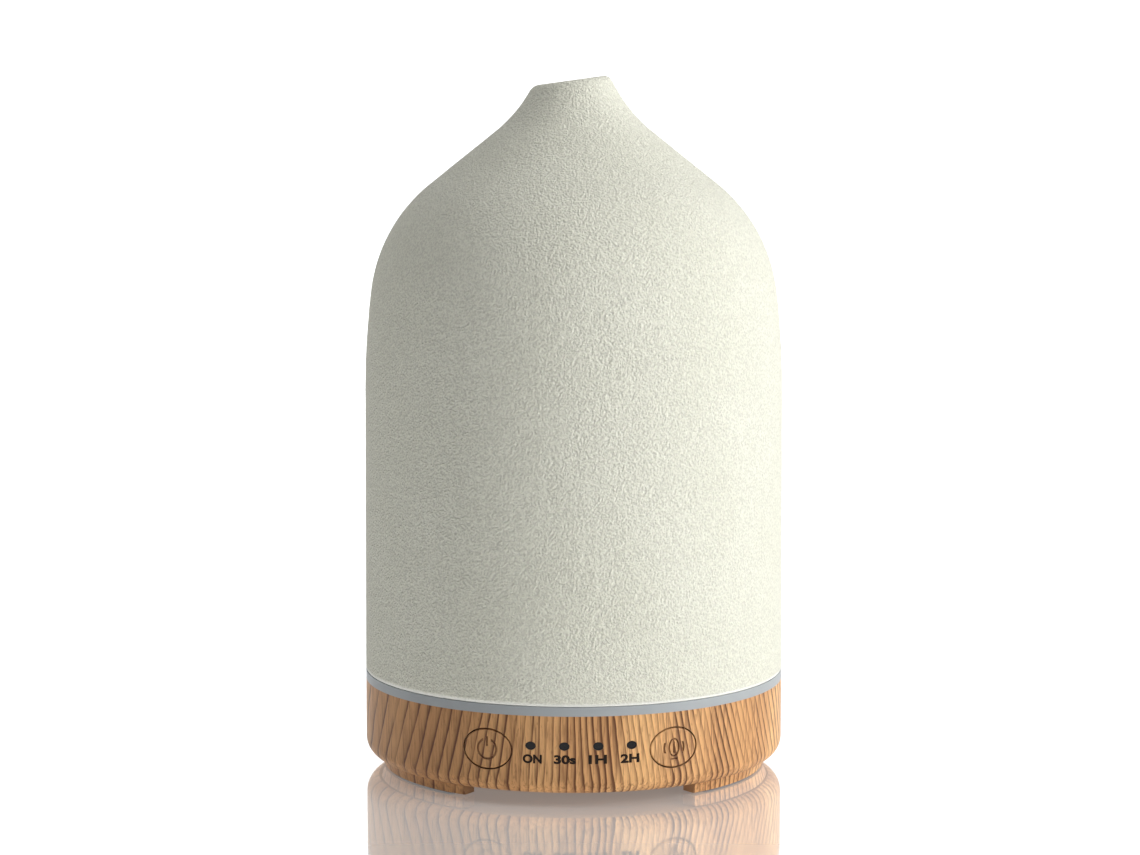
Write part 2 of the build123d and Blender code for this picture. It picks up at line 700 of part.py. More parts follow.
retainer_screw_places = [
    (piezo_x + retainer_screw_r * cos(radians(a)), retainer_screw_r * sin(radians(a))) for a in (0, 120, 240)
]
screws("piezo_screws", [Plane(origin=(x, y, retainer_z)) for x, y in retainer_screw_places], *piezo_screw)

# ---------------------------------------------------------------- fan, its filter and the duct above it
fan_bore_r = fan_size / 2 - fan_rim
blade_tip_r = fan_bore_r - 0.6
fan_hub_plate, fan_hub_gap = 1.0, 0.5
bearing_r, shaft_r = 1.8, 0.75
rotor_z = fan_z + 0.3
rotor_h = fan_t - fan_hub_plate - fan_hub_gap - 0.3
hub_skin = 0.6
magnet_t = 0.75
fan_place = (duct_x, duct_y)

with BuildPart() as air_filter:
    with BuildSketch(Plane.XY.offset(plate_top)):
        with Locations(fan_place):
            Circle(grille_r + 0.8)
    extrude(amount=fan_lift)
save(air_filter, "air_filter")

with BuildPart() as fan_frame:
    with BuildSketch(Plane.XY.offset(fan_z)):
        with Locations(fan_place):
            RectangleRounded(fan_size, fan_size, fan_corner_r)
            Circle(fan_bore_r, mode=Mode.SUBTRACT)
        with Locations(*fan_screw_places):
            Circle(fan_screw_clear, mode=Mode.SUBTRACT)
    extrude(amount=fan_t)
    with BuildSketch(Plane.XY.offset(fan_top - fan_hub_plate)):
        with Locations(fan_place):
            Circle(fan_hub_r)
            with PolarLocations(0, 3, start_angle=30):
                with Locations((fan_bore_r / 2 + 0.2, 0)):
                    Rectangle(fan_bore_r + 0.4, 1.6)
    extrude(amount=fan_hub_plate)
    with BuildSketch(Plane.XY.offset(fan_top - fan_hub_plate)):
        with Locations(fan_place):
            Circle(bearing_r + 0.8)
            Circle(bearing_r, mode=Mode.SUBTRACT)
    extrude(amount=-(fan_t - 3.2))
save(fan_frame, "fan_frame")

with BuildPart() as fan_bearing:
    with BuildSketch(Plane.XY.offset(fan_top - fan_hub_plate)):
        with Locations(fan_place):
            Circle(bearing_r)
            Circle(shaft_r + 0.05, mode=Mode.SUBTRACT)
    extrude(amount=-(fan_t - 3.2))
save(fan_bearing, "fan_bearing")

with BuildPart() as fan_shaft:
    with BuildSketch(Plane.XY.offset(rotor_z + hub_skin)):
        with Locations(fan_place):
            Circle(shaft_r)
    extrude(amount=rotor_h - hub_skin + 0.3)
save(fan_shaft, "fan_shaft")

with BuildPart() as fan_rotor:
    with BuildSketch(Plane.XY.offset(rotor_z)):
        with Locations(fan_place):
            Circle(fan_hub_r)
    extrude(amount=rotor_h)
    with BuildSketch(Plane.XY.offset(rotor_z + hub_skin)):
        with Locations(fan_place):
            Circle(fan_hub_r - hub_skin)
    extrude(amount=rotor_h, mode=Mode.SUBTRACT)
    with Locations((*fan_place, rotor_z + rotor_h / 2)):
        with PolarLocations(0, blade_count):
            with Locations(Location(((fan_hub_r + blade_tip_r) / 2 - 0.1, 0, 0), (35, 0, 0))):
                Box(blade_tip_r - fan_hub_r + 0.2, 5.6, 0.7)
save(fan_rotor, "fan_rotor")

with BuildPart() as fan_magnet:
    with BuildSketch(Plane.XY.offset(rotor_z + hub_skin + 0.1)):
        with Locations(fan_place):
            Circle(fan_hub_r - hub_skin)
            Circle(fan_hub_r - hub_skin - magnet_t, mode=Mode.SUBTRACT)
    extrude(amount=rotor_h - hub_skin - 0.3)
save(fan_magnet, "fan_magnet")

stator_out = fan_hub_r - hub_skin - magnet_t - 0.4
with BuildPart() as fan_stator:
    with BuildSketch(Plane.XY.offset(rotor_z + hub_skin + 1.0)):
        with Locations(fan_place):
            Circle(stator_out)
            Circle(bearing_r + 0.85, mode=Mode.SUBTRACT)
            with PolarLocations(stator_out, 4, start_angle=45):
                Rectangle(2.6, 1.0, mode=Mode.SUBTRACT)
    extrude(amount=rotor_h - hub_skin - 1.4)
save(fan_stator, "fan_stator")

with BuildPart() as fan_duct:
    with BuildSketch(Plane.XY.offset(fan_top)):
        with Locations(fan_place):
            RectangleRounded(fan_size, fan_size, fan_corner_r)
            Circle(fan_bore_r, mode=Mode.SUBTRACT)
        with Locations(*fan_screw_places):
            Circle(fan_screw_clear, mode=Mode.SUBTRACT)
    extrude(amount=duct_flange_t)
    neck_z = deck_z - 2.0
    for inset, mode in ((0.0, Mode.ADD), (1.1, Mode.SUBTRACT)):
        with BuildSketch(Plane.XY.offset(duct_flange_top)):
            with Locations(fan_place):
                Circle(fan_bore_r + 0.6 - inset)
        with BuildSketch(Plane.XY.offset(neck_z)):
            with Locations(fan_place):
                Circle(duct_out + 0.6 - inset)
        loft(mode=mode)
        with BuildSketch(Plane.XY.offset(neck_z)):
            with Locations(fan_place):
                Circle(duct_out + 0.6 - inset)
        extrude(amount=deck_z - neck_z, mode=mode)
    with BuildSketch(Plane.XY.offset(duct_flange_top)):
        with Locations(*fan_screw_places):
            Circle(fan_boss_r + 0.1)
    extrude(amount=2.0, mode=Mode.SUBTRACT)
save(fan_duct, "fan_duct")

fan_screw_planes = [Plane(origin=(x, y, duct_flange_top), z_dir=(0, 0, -1)) for x, y in fan_screw_places]
screws("fan_screws", fan_screw_planes, *fan_screw)

# ---------------------------------------------------------------- main board and what stands on it
terminal_places = [(-2.3, jack_front - 8.2), (2.3, jack_front - 8.2), (0, jack_front - 4.6)]
with BuildPart() as main_board:
    with BuildSketch(Plane.XY.offset(board_z)):
        Circle(board_r)
        with Locations((board_left + body_r, board_front + body_r)):
            Rectangle(2 * body_r, 2 * body_r, mode=Mode.INTERSECT)
        with Locations(*[place[:2] for place in post_places]):
            Circle(screw_boss_r + 0.4, mode=Mode.SUBTRACT)
        with Locations(*board_screw_places):
            Circle(board_screw_clear, mode=Mode.SUBTRACT)
        with Locations(*terminal_places):
            Rectangle(terminal_w + terminal_clear, terminal_t + terminal_clear, mode=Mode.SUBTRACT)
    extrude(amount=board_t)
save(main_board, "main_board")

board_screw_planes = [Plane(origin=(x, y, board_top), z_dir=(0, 0, -1)) for x, y in board_screw_places]
screws("board_screws", board_screw_planes, *board_screw)

with BuildPart() as dc_jack:
    with BuildSketch(Plane.XY.offset(board_top)):
        with Locations((0, jack_front - jack_d / 2)):
            Rectangle(jack_w, jack_d)
    extrude(amount=jack_h)
    chamfer(dc_jack.edges().filter_by(Axis.Y).group_by(Axis.Z)[-1], 0.8)
    with BuildSketch(wall_plane(180, jack_front, jack_z)):
        Circle(jack_nose_r)
    extrude(amount=jack_face - jack_front)
    with BuildSketch(wall_plane(180, jack_face, jack_z)):
        Circle(jack_bore_r)
    extrude(amount=-jack_bore_d, mode=Mode.SUBTRACT)
    with BuildSketch(wall_plane(180, jack_face, jack_z)):
        Circle(jack_root_r)
    extrude(amount=-(jack_face - jack_front + jack_d), mode=Mode.SUBTRACT)
save(dc_jack, "dc_jack")

jack_root = jack_face - jack_bore_d
with BuildPart() as dc_jack_pin:
    with BuildSketch(wall_plane(180, jack_root, jack_z)):
        Circle(jack_pin_r)
    extrude(amount=jack_bore_d - jack_pin_sunk)
    chamfer(dc_jack_pin.faces().sort_by(Axis.Y)[-1].edges(), 0.25)
    with BuildSketch(wall_plane(180, jack_root, jack_z)):
        Circle(jack_root_r)
    extrude(amount=-(jack_root - jack_front + jack_d - 0.4))
save(dc_jack_pin, "dc_jack_pin")

with BuildPart() as jack_terminals:
    with BuildSketch(Plane.XY.offset(board_top)):
        with Locations(*terminal_places):
            Rectangle(terminal_w, terminal_t)
    extrude(amount=-(board_t + 1.0))
save(jack_terminals, "jack_terminals")


def on_board(name, size, places, height, round_off=0.0):
    """Boxes that stand on the main board, one for each place."""
    with BuildPart() as blocks:
        with BuildSketch(Plane.XY.offset(board_top)):
            with Locations(*places):
                Rectangle(*size)
        extrude(amount=height)
        if round_off:
            chamfer(blocks.faces().filter_by(Axis.Z).group_by(Axis.Z)[-1].edges(), round_off)
    save(blocks, name)


chip_place, heat_sink_place, transistor_place = (10.0, 2.0), (35.0, 2.0), (29.2, 2.0)
key_socket_place, piezo_socket_place = (12.0, -19.5), (0.0, -19.5)
fan_socket_place, ring_socket_place = (-1.0, 27.0), (13.0, 35.5)
capacitor_places = [(22.0, -17.0), (30.5, -12.0), (33.5, 18.0)]
coil_place = (18.0, 24.5)

on_board("control_chip", (10.0, 5.4), [chip_place], 1.75, 0.3)
on_board("power_transistor", (4.4, 10.0), [transistor_place], 9.0, 0.4)
on_board("film_capacitor", (8.4, 4.2), [(7.5, 22.5)], 7.5, 0.6)
on_board("chip_resistors", (1.6, 0.9), [(2.0 + 3.2 * i, 9.0) for i in range(5)], 0.6)

with BuildPart() as board_sockets:
    with BuildSketch(Plane.XY.offset(board_top)):
        with Locations(key_socket_place, piezo_socket_place, fan_socket_place, ring_socket_place):
            Rectangle(socket_w, socket_d)
    extrude(amount=socket_h)
    with BuildSketch(Plane.XY.offset(key_top)):
        with Locations((0, -(key_board_r - key_board_w + 2.9))):
            Rectangle(socket_w, socket_d)
    extrude(amount=socket_h)
    chamfer(board_sockets.edges().filter_by(Axis.Z), 0.4)
save(board_sockets, "board_sockets")

with BuildPart() as heat_sink:
    with BuildSketch(Plane.XY.offset(board_top)):
        with Locations(heat_sink_place):
            Rectangle(7.2, 20.0)
            with Locations(*[(1.4, (i - 2.5) * 3.0) for i in range(6)]):
                Rectangle(4.6, 1.7, mode=Mode.SUBTRACT)
    extrude(amount=9.6)
save(heat_sink, "heat_sink")

with BuildPart() as capacitors:
    with BuildSketch(Plane.XY.offset(board_top)):
        with Locations(*capacitor_places):
            Circle(3.15)
    extrude(amount=9.0)
    fillet(capacitors.edges().filter_by(GeomType.CIRCLE), 0.5)
save(capacitors, "capacitors")

with BuildPart() as drive_coil:
    with BuildSketch(Plane.XZ.offset(-coil_place[1])):
        with Locations((coil_place[0] + 2.0, board_top + 3.8)):
            Rectangle(4.0, 7.6)
        with Locations((coil_place[0] + 3.6, board_top + 3.8)):
            Rectangle(1.0, 5.2, mode=Mode.SUBTRACT)
    revolve(axis=Axis((*coil_place, 0), (0, 0, 1)))
save(drive_coil, "drive_coil")

with BuildPart() as coil_winding:
    with BuildSketch(Plane.XY.offset(board_top + 1.3)):
        with Locations(coil_place):
            Circle(3.9)
            Circle(3.15, mode=Mode.SUBTRACT)
    extrude(amount=5.0)
save(coil_winding, "coil_winding")

# ---------------------------------------------------------------- lamps under the light ring
led_board_arc = 360 - led_board_gap
led_board_mid = led_board_r - led_board_w / 2
with BuildPart() as ring_led_board:
    with BuildSketch(section_plane(180 + led_board_gap / 2)):
        with Locations((led_board_mid, led_board_z + led_board_t / 2)):
            Rectangle(led_board_w, led_board_t)
    revolve(axis=Axis.Z, revolution_arc=led_board_arc)
save(ring_led_board, "ring_led_board")

ring_led_step = 360 / ring_led_count
with BuildPart() as ring_leds:
    with BuildSketch(Plane.XY.offset(led_board_z + led_board_t)):
        with PolarLocations(led_board_mid, ring_led_count, start_angle=90 + ring_led_step / 2):
            Rectangle(2.0, 2.8)
    extrude(amount=1.0)
save(ring_leds, "ring_leds")

# ---------------------------------------------------------------- leads inside the base
socket_top = board_top + socket_h
key_socket_y = -(key_board_r - key_board_w + 2.9)
ring_solder = around(157, led_board_mid, led_board_z)
pair = (-wire_pitch / 2, wire_pitch / 2)
ring_lead_z = led_board_z - 2.2
fan_lead_z = fan_top - 2.0
fan_exit = duct_x + fan_size / 2
lead("piezo_lead", [
    [
        (piezo_x + s, 0, disc_z),
        (piezo_x + s, 0, lead_z),
        (piezo_socket_place[0] + s, piezo_socket_place[1], lead_z),
        (piezo_socket_place[0] + s, piezo_socket_place[1], socket_top),
    ]
    for s in pair
])
lead("key_lead", [
    [
        (s, key_socket_y, key_top + socket_h),
        (s, key_socket_y, lead_z),
        (key_socket_place[0] + s, key_socket_place[1], lead_z),
        (key_socket_place[0] + s, key_socket_place[1], socket_top),
    ]
    for s in (-1.6, 0.0, 1.6)
])
lead("fan_lead", [
    [
        (fan_exit, 14.0 + s, fan_lead_z),
        (fan_exit + 4.5, 14.0 + s, fan_lead_z),
        (fan_exit + 5.5 - s, 19.0, lead_z),
        (fan_socket_place[0] - s, fan_socket_place[1], lead_z),
        (fan_socket_place[0] - s, fan_socket_place[1], socket_top),
    ]
    for s in pair
])
lead("ring_lead", [
    [
        (ring_solder[0] + s, ring_solder[1], led_board_z),
        (ring_solder[0] + s, ring_solder[1], ring_lead_z),
        (ring_socket_place[0] + s, ring_socket_place[1], ring_lead_z),
        (ring_socket_place[0] + s, ring_socket_place[1], socket_top),
    ]
    for s in pair
])
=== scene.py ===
"""Essential oil diffuser: stoneware cover, light ring, wood-grain base and what they hold."""

import json
import logging
import math
from dataclasses import dataclass, field
from enum import Enum
from typing import Sequence

import bmesh
import bpy
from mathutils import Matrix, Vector, noise

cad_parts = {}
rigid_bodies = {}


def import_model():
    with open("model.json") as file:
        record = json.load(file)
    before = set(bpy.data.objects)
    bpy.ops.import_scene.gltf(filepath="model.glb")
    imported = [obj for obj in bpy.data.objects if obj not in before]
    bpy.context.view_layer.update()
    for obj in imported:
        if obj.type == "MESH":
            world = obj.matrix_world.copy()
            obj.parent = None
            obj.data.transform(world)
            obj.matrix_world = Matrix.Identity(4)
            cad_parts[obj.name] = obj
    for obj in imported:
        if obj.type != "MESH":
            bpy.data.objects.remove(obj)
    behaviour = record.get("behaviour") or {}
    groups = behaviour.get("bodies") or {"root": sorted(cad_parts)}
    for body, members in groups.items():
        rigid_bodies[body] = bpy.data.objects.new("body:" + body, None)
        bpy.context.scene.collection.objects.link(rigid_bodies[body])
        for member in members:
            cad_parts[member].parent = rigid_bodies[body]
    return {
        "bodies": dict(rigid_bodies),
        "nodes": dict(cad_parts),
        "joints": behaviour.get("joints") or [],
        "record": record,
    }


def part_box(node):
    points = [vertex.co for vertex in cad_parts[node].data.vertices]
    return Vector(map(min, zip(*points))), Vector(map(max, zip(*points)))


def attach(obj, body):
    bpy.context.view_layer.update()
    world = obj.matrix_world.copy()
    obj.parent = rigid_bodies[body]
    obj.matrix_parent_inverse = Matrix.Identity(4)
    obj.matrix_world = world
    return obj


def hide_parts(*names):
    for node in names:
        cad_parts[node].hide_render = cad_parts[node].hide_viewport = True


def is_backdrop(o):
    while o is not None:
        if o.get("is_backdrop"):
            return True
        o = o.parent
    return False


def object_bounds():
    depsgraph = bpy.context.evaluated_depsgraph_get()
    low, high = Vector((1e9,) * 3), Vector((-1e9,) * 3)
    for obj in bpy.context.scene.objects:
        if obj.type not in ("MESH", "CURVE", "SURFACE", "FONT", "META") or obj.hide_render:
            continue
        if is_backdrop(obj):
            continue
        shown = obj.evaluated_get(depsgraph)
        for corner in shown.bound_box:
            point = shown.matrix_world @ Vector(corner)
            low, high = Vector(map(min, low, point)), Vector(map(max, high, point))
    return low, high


MM = 0.001
LOG = logging.getLogger("diffuser")


# ---------------------------------------------------------------- shader graph


class Value:
    """A number that varies over a surface: a socket with arithmetic."""

    def __init__(self, graph: "Graph", socket: bpy.types.NodeSocket) -> None:
        """Wrap a socket.

        Args:
            graph: the graph that the socket belongs to.
            socket: the output that carries the number.
        """
        self.graph = graph
        self.socket = socket

    def _math(self, operation: str, *terms: "Value | float") -> "Value":
        """Add one Math node.

        Args:
            operation: the Math node's operation.
            terms: its inputs in order.

        Returns:
            The result as a new value.
        """
        made = self.graph.node("ShaderNodeMath", {"operation": operation}, dict(enumerate(terms)))
        return Value(self.graph, made.outputs[0])

    def __add__(self, other: "Value | float") -> "Value":
        """Sum."""
        return self._math("ADD", self, other)

    __radd__ = __add__

    def __sub__(self, other: "Value | float") -> "Value":
        """Difference."""
        return self._math("SUBTRACT", self, other)

    def __rsub__(self, other: float) -> "Value":
        """Difference from a plain number."""
        return self._math("SUBTRACT", other, self)

    def __mul__(self, other: "Value | float") -> "Value":
        """Product."""
        return self._math("MULTIPLY", self, other)

    __rmul__ = __mul__

    def power(self, exponent: "Value | float") -> "Value":
        """Raise to a power."""
        return self._math("POWER", self, exponent)

    def sine(self) -> "Value":
        """Sine of an angle in radians."""
        return self._math("SINE", self)

    def fraction(self) -> "Value":
        """Part after the decimal point."""
        return self._math("FRACT", self)

    def size(self) -> "Value":
        """Absolute value."""
        return self._math("ABSOLUTE", self)

    def least(self, other: "Value | float") -> "Value":
        """The smaller of two."""
        return self._math("MINIMUM", self, other)

    def spread(self, low: float, high: float, to_low: float = 0.0, to_high: float = 1.0) -> "Value":
        """Carry one range smoothly onto another and hold it there.

        Args:
            low: value that becomes to_low.
            high: value that becomes to_high.
            to_low: result at and below low.
            to_high: result at and above high.

        Returns:
            The eased value.
        """
        settings = {"interpolation_type": "SMOOTHSTEP"}
        sockets = {"Value": self, "From Min": low, "From Max": high, "To Min": to_low, "To Max": to_high}
        return Value(self.graph, self.graph.node("ShaderNodeMapRange", settings, sockets).outputs[0])


class Graph:
    """A material's node tree, built one call at a time."""

    def __init__(self, name: str) -> None:
        """Start an empty material.

        Args:
            name: the material's name.
        """
        self.material = bpy.data.materials.new(name)
        self.material.use_nodes = True
        self.tree = self.material.node_tree
        self.tree.nodes.clear()
        self.place = self.node("ShaderNodeTexCoord", {}, {}).outputs["Object"]

    def node(self, kind: str, settings: dict, sockets: dict) -> bpy.types.Node:
        """Add a node, set it up, then feed it.

        Args:
            kind: the node's type.
            settings: attributes by name.
            sockets: values, Values or outputs by input name or number.

        Returns:
            The node.
        """
        made = self.tree.nodes.new(kind)
        for key, setting in settings.items():
            setattr(made, key, setting)
        for key, given in sockets.items():
            source = given.socket if isinstance(given, Value) else given
            if isinstance(source, bpy.types.NodeSocket):
                self.tree.links.new(source, made.inputs[key])
            else:
                made.inputs[key].default_value = source
        return made

    def axes(self) -> tuple[Value, Value, Value]:
        """The place on the object in millimetres, as three values."""
        split = self.node("ShaderNodeSeparateXYZ", {}, {0: self.place})
        return tuple(Value(self, split.outputs[i]) * (1 / MM) for i in range(3))

    def _noise(self, at: bpy.types.NodeSocket, scale: float, detail: float, rough: float) -> Value:
        """Add one noise.

        Args:
            at: vector to read.
            scale: lumps for each unit of it.
            detail: octaves.
            rough: weight of the finer octaves.

        Returns:
            Noise from 0 to 1.
        """
        sockets = {"Vector": at, "Scale": scale, "Detail": detail, "Roughness": rough}
        return Value(self, self.node("ShaderNodeTexNoise", {}, sockets).outputs[0])

    def grain(self, size_mm: float, detail: float = 2.0, rough: float = 0.5) -> Value:
        """Cloudy noise with lumps of about one size."""
        return self._noise(self.place, 1 / (size_mm * MM), detail, rough)

    def streaks(self, squeeze: Sequence[float], detail: float = 2.0, rough: float = 0.5) -> Value:
        """Noise drawn out into streaks.

        Args:
            squeeze: lumps for each metre along the three axes.
            detail: octaves.
            rough: weight of the finer octaves.

        Returns:
            Noise from 0 to 1.
        """
        mapped = self.node("ShaderNodeMapping", {}, {0: self.place, "Scale": squeeze}).outputs[0]
        return self._noise(mapped, 1.0, detail, rough)

    def cells(self, size_mm: float) -> Value:
        """Distance to the nearest of many scattered points, about one size apart."""
        sockets = {"Vector": self.place, "Scale": 1 / (size_mm * MM)}
        return Value(self, self.node("ShaderNodeTexVoronoi", {}, sockets).outputs[0])

    def mix(self, share: Value | float, under: object, over: object) -> bpy.types.NodeSocket:
        """Two colours mixed.

        Args:
            share: how much of the second shows.
            under: the first colour, or an output.
            over: the second colour, or an output.

        Returns:
            The mixed colour.
        """
        colours = [(*c, 1.0) if isinstance(c, tuple) else c for c in (under, over)]
        sockets = {0: share, 6: colours[0], 7: colours[1]}
        return self.node("ShaderNodeMix", {"data_type": "RGBA"}, sockets).outputs[2]

    def bump(self, height: Value, depth_mm: float, strength: float = 1.0) -> bpy.types.NodeSocket:
        """A normal tilted by a relief.

        Args:
            height: the relief from 0 to 1.
            depth_mm: how deep a whole step is.
            strength: share of the effect.

        Returns:
            The normal.
        """
        sockets = {"Height": height, "Distance": depth_mm * MM, "Strength": strength}
        return self.node("ShaderNodeBump", {}, sockets).outputs[0]

    def surface(self, **sockets: object) -> bpy.types.Material:
        """Finish the material with one Principled shader.

        Args:
            sockets: its inputs, with underscores for spaces.

        Returns:
            The finished material.
        """
        fed = {key.replace("_", " "): value for key, value in sockets.items()}
        for key in ("Base Color", "Emission Color"):
            if isinstance(fed.get(key), tuple):
                fed[key] = (*fed[key], 1.0)
        shader = self.node("ShaderNodeBsdfPrincipled", {}, fed)
        self.node("ShaderNodeOutputMaterial", {}, {0: shader.outputs[0]})
        return self.material


# ---------------------------------------------------------------- finishes


@dataclass(frozen=True)
class Stoneware:
    """Matt, off-white stoneware with a fine sand-like skin, painted shade in its pits, and a smoother foot
    painted paler as a highlight.
    """

    foot_height: float
    name: str = "stoneware"
    light: tuple = (0.81, 0.81, 0.70)
    shade: tuple = (0.78, 0.78, 0.665)
    speck_and_pit_shade: tuple = (0.50, 0.49, 0.42)
    foot_highlight: tuple = (0.90, 0.90, 0.84)
    cloud_mm: float = 30.0
    speck_mm: float = 3.4
    speck_share: float = 0.3
    grain_mm: float = 0.5
    coarse_grains: float = 2.4
    pit_shade_share: float = 0.5
    depth_mm: float = 0.85
    foot_from: float = 0.3
    foot_to: float = 1.1
    roughness: float = 0.74
    specular: float = 0.3

    def material(self) -> bpy.types.Material:
        """Build the material."""
        g = Graph(self.name)
        foot = (g.axes()[2] - self.foot_height).spread(self.foot_from, self.foot_to, 1.0, 0.0)
        sand = g.grain(self.grain_mm, 2.0, 0.6)
        coarse = g.grain(self.grain_mm * self.coarse_grains, 1.0)
        relief = (sand * 0.75 + coarse * 0.35) * (1 - foot * 0.8)
        return g.surface(
            Base_Color=self._colour(g, foot, sand),
            Roughness=self.roughness + sand * 0.2 - foot * 0.25,
            Normal=g.bump(relief, self.depth_mm),
            Specular_IOR_Level=self.specular,
        )

    def _colour(self, g: "Graph", foot: Value, sand: Value) -> bpy.types.NodeSocket:
        """The fired body's colour: cloudy and specked, with painted shade darkening its pits and a painted
        highlight making the foot pale.

        Args:
            g: the material's graph.
            foot: 1 at the foot, 0 above it.
            sand: the fine relief.

        Returns:
            The colour.
        """
        clouds = g.grain(self.cloud_mm).spread(0.3, 0.7)
        specks = g.cells(self.speck_mm).spread(0.05, 0.09, self.speck_share, 0.0)
        # Painted shade: the pits of the fine relief are darkened, here and in the last mix, with the same
        # dark colour as the specks.
        pit_shade = sand.spread(0.36, 0.60, self.pit_shade_share, 0.0)
        colour = g.mix(specks, g.mix(clouds, self.light, self.shade), self.speck_and_pit_shade)
        # Painted highlight: the foot is mixed towards a pale colour.
        return g.mix(pit_shade * (1 - foot), g.mix(foot, colour, self.foot_highlight), self.speck_and_pit_shade)


class Streak(Enum):
    """How the wood's long features are squeezed across and along the grain."""

    WANDER = (60, 60, 18)
    WAVER = (300, 300, 45)
    WEIGHT = (160, 160, 14)
    TONE = (70, 70, 12)
    FIBRE = (2400, 2400, 130)
    FLECK = (1500, 1500, 420)


@dataclass(frozen=True)
class WoodPrint:
    """Satin wood grain printed on the outside of the base; the moulding behind it is plain."""

    name: str = "wood_print"
    pale: tuple = (0.86, 0.50, 0.215)
    warm: tuple = (0.60, 0.31, 0.125)
    late: tuple = (0.085, 0.026, 0.009)
    left_shade: tuple = (0.43, 0.21, 0.083)
    plain: tuple = (0.40, 0.24, 0.13)
    radius_mm: float = 50.0
    mid_height: float = 12.0
    fan_out: float = 0.0095
    coarse_per_mm: float = 0.14
    fine_per_mm: float = 0.50
    fine_at: float = 18.0
    left_shade_at: float = -52.0
    left_shade_share: float = 0.75
    wander: float = 3.2
    waver: float = 0.7
    darkest: float = 0.92
    icon_depth: float = 0.14
    icon_height: float = 3.8
    sunk_shade_share: float = 0.55
    mould_mm: float = 0.4
    gloss: float = 0.40
    depth_mm: float = 0.07
    specular: float = 0.2

    def _phase(self, g: Graph, turn: Value) -> Value:
        """Number of growth lines passed on the way round to an angle.

        The lines crowd round one angle as the eighth power of a cosine, here as its integral,
        and their number round the whole base is a whole one, so that the print closes.

        Args:
            g: the material's graph; not used.
            turn: the angle from the front, in radians.

        Returns:
            The count of lines.
        """
        crowd = turn - math.radians(self.fine_at)
        waves = crowd.sine() * 56 + (crowd * 2).sine() * 14 + (crowd * 3).sine() * (8 / 3)
        mean = self.coarse_per_mm + self.fine_per_mm * 35 / 128
        whole = round(math.tau * self.radius_mm * mean) / math.tau
        return turn * whole + waves * (self.radius_mm * self.fine_per_mm / 128)

    def _lines(self, g: Graph, turn: Value, z: Value) -> Value:
        """Dark growth lines: each darkens slowly and stops sharply, and far from the front they're thinner.

        Args:
            g: the material's graph.
            turn: the angle from the front, in radians.
            z: height in millimetres.

        Returns:
            Darkness of the lines.
        """
        side = turn.sine()
        calm = side.size().spread(0.1, 0.75, 1.0, 0.35)
        leaned = turn + side * (z - self.mid_height) * self.fan_out
        wander = (g.streaks(Streak.WANDER.value) - 0.5) * self.wander
        waver = (g.streaks(Streak.WAVER.value, 3.0, 0.6) - 0.5) * self.waver
        ring = (self._phase(g, leaned) + (wander + waver) * calm).fraction()
        away = ((turn - math.radians(self.fine_at)) * 0.5).sine().size()
        crisp = away.spread(0.05, 0.44, 2.0, 4.5) + away.spread(0.5, 0.8) * 3.5
        late = ring.power(crisp) * (1 - ring.spread(0.93, 1.0))
        return (late * g.streaks(Streak.WEIGHT.value).spread(0.30, 0.60, 0.6, 1.8)).least(self.darkest)

    def _ground(self, g: Graph, turn: Value, fibres: Value) -> bpy.types.NodeSocket:
        """The wood between the lines, with painted shade darkening it towards the left, and fibres and
        flecks.

        Args:
            g: the material's graph.
            turn: the angle from the front, in radians.
            fibres: the fine fibres.

        Returns:
            The colour.
        """
        # Painted shade: the print darkens round an angle at the left, the side away from the key light.
        left_shade = (turn - math.radians(self.left_shade_at)).size().spread(0.15, 0.95, self.left_shade_share, 0.0)
        flecks = g.streaks(Streak.FLECK.value, 2.0, 0.6).spread(0.60, 0.75) * 0.35
        colour = g.mix(g.streaks(Streak.TONE.value).spread(0.3, 0.7), self.pale, self.warm)
        colour = g.mix(left_shade, colour, self.left_shade)
        colour = g.mix(fibres.spread(0.44, 0.72) * 0.6, colour, self.late)
        return g.mix(flecks, colour, self.late)

    def _skin(self, g: Graph) -> Value:
        """1 where the surface faces away from the body's axis, 0 on tops, undersides and inner walls."""
        shape = g.node("ShaderNodeNewGeometry", {}, {})
        flat = g.node("ShaderNodeVectorMath", {"operation": "MULTIPLY"}, {0: g.place, 1: (1 / MM, 1 / MM, 0)})
        outward = g.node("ShaderNodeVectorMath", {"operation": "DOT_PRODUCT"},
                         {0: shape.outputs["Normal"], 1: flat.outputs[0]})
        return Value(g, outward.outputs["Value"]).spread(3.0, 8.0)

    def _sunk_shade(self, x: Value, y: Value, z: Value) -> Value:
        """1 on what lies just under the outer skin at the buttons' height, such as the sunk icons, whose
        floors get painted shade.

        Args:
            x: place in millimetres.
            y: place in millimetres.
            z: place in millimetres.

        Returns:
            The mask.
        """
        depth = (x * x + y * y).power(0.5) - self.radius_mm
        height = (z - self.mid_height).size()
        sunk = depth.spread(-self.icon_depth - 0.16, -self.icon_depth, 1.0, 0.0)
        return sunk * height.spread(self.icon_height, self.icon_height + 0.4, 1.0, 0.0)

